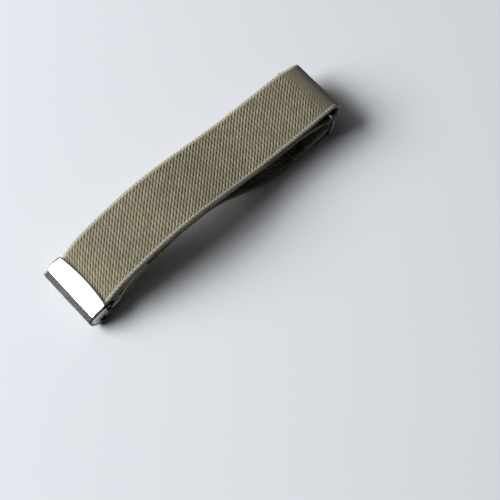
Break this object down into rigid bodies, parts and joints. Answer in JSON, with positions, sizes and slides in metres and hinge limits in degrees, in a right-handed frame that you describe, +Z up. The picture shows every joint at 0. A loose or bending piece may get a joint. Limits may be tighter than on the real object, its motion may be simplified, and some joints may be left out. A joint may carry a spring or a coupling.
{
  "type": "shirt sleeve holder",
  "caption": "Adjustable elastic sleeve holder: a twill webbing loop closed by a plated slide buckle and a rectangular wire ring.",
  "frame": {"origin": "middle of the footprint, on the surface that the holder lies on", "axes": "+X along the strap from the buckle to the wire ring, +Z up from the surface, +Y across the strap to its far edge"},
  "size_m": [0.1304, 0.0316, 0.0175],
  "materials": {
    "webbing": "olive beige elastic twill webbing, matte",
    "cover_plating": "bright plated pressed steel",
    "lever_plating": "plain plated steel",
    "ring_plating": "bright plated wire"
  },
  "bodies": {
    "root": {"elastic_strap": "webbing", "buckle_cover": "cover_plating", "buckle_lever": "lever_plating", "wire_ring": "ring_plating"}
  },
  "joints": []
}
